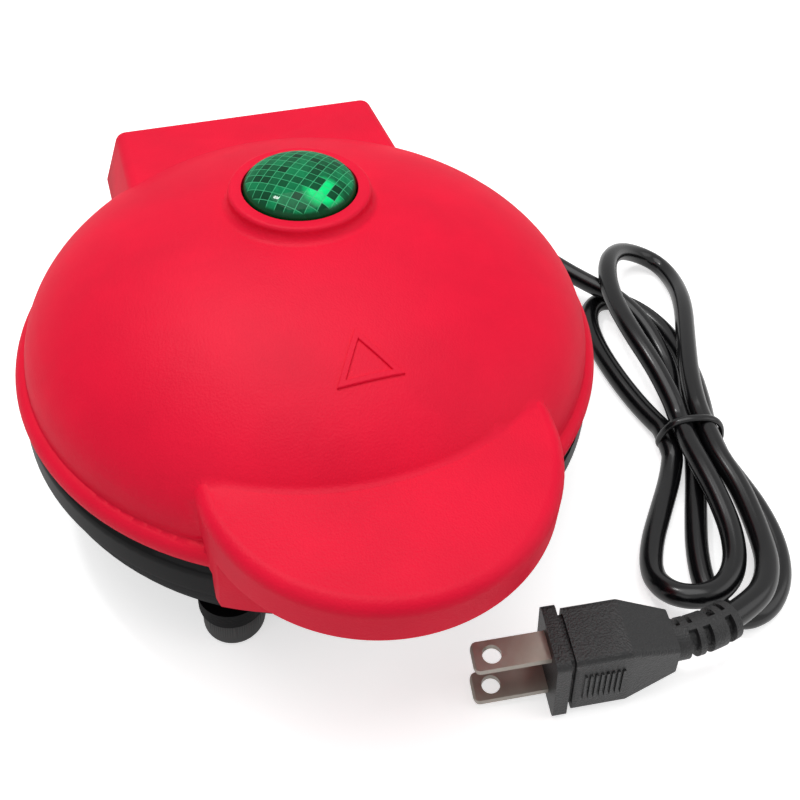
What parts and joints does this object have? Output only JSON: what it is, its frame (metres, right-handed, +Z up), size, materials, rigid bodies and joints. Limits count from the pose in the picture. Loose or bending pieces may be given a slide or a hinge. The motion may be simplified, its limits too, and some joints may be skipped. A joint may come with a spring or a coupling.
{
  "type": "mini sandwich press",
  "caption": "Round countertop sandwich press with a red domed lid, crescent handle, green indicator lens, black base on rubber feet and a tied power cord.",
  "frame": {"origin": "middle of the footprint of the press without its cord, on the surface that it stands on", "axes": "+Z up, +Y from the handle to the hinge, +X to the side where the cord lies"},
  "size_m": [0.1963, 0.1629, 0.0785],
  "materials": {
    "red_plastic": "satin",
    "black_gloss": "gloss",
    "black_satin": "satin",
    "foot_rubber": "matte",
    "grey_plastic": "satin",
    "nonstick_coating": "satin",
    "steel": "satin",
    "aluminium": "satin",
    "white_plastic": "satin",
    "lead_sleeve": "matte",
    "green_lens": "gloss",
    "lamp_glass": "gloss",
    "black_moulding": "satin",
    "cord_sheath": "gloss",
    "nickel": "polished"
  },
  "bodies": {
    "base": {"base_bowl": "black_satin", "base_ring": "black_gloss", "foot_front_left": "foot_rubber", "foot_front_right": "foot_rubber", "foot_rear_left": "foot_rubber", "foot_rear_right": "foot_rubber", "bottom_cover": "black_satin", "cover_screws": "steel", "base_screws": "steel", "lower_plate": "nonstick_coating", "lower_element": "steel", "lower_element_clamp": "steel", "lower_clamp_screw": "steel", "lower_heat_shield": "steel", "thermostat": "aluminium", "thermal_fuse": "steel", "terminal_block": "white_plastic", "base_leads": "lead_sleeve", "hinge_pin": "steel", "cord_relief": "black_moulding", "power_cord": "cord_sheath", "cord_hank": "cord_sheath", "cord_tail": "cord_sheath", "cord_tie": "black_moulding", "plug_body": "black_moulding", "plug_relief": "black_moulding", "plug_blade_upper": "nickel", "plug_blade_lower": "nickel"},
    "lid": {"lid_shell": "red_plastic", "lid_rim_ring": "grey_plastic", "lid_ring_screws": "steel", "handle_cover": "red_plastic", "handle_screws": "steel", "indicator_lens": "green_lens", "lamp_holder": "white_plastic", "lamp_holder_screws": "steel", "lamp_board": "white_plastic", "indicator_lamp": "lamp_glass", "upper_plate": "nonstick_coating", "upper_element": "steel", "upper_element_clamp": "steel", "upper_clamp_screw": "steel", "upper_heat_shield": "steel", "upper_plate_screws": "steel", "lid_leads": "lead_sleeve"}
  },
  "joints": [
    {"name": "lid_hinge", "type": "hinge", "parent": "base", "child": "lid", "pos_m": [0, 0.0717, 0.0395], "axis": [-1, 0, 0], "range_deg": [0, 100]}
  ]
}
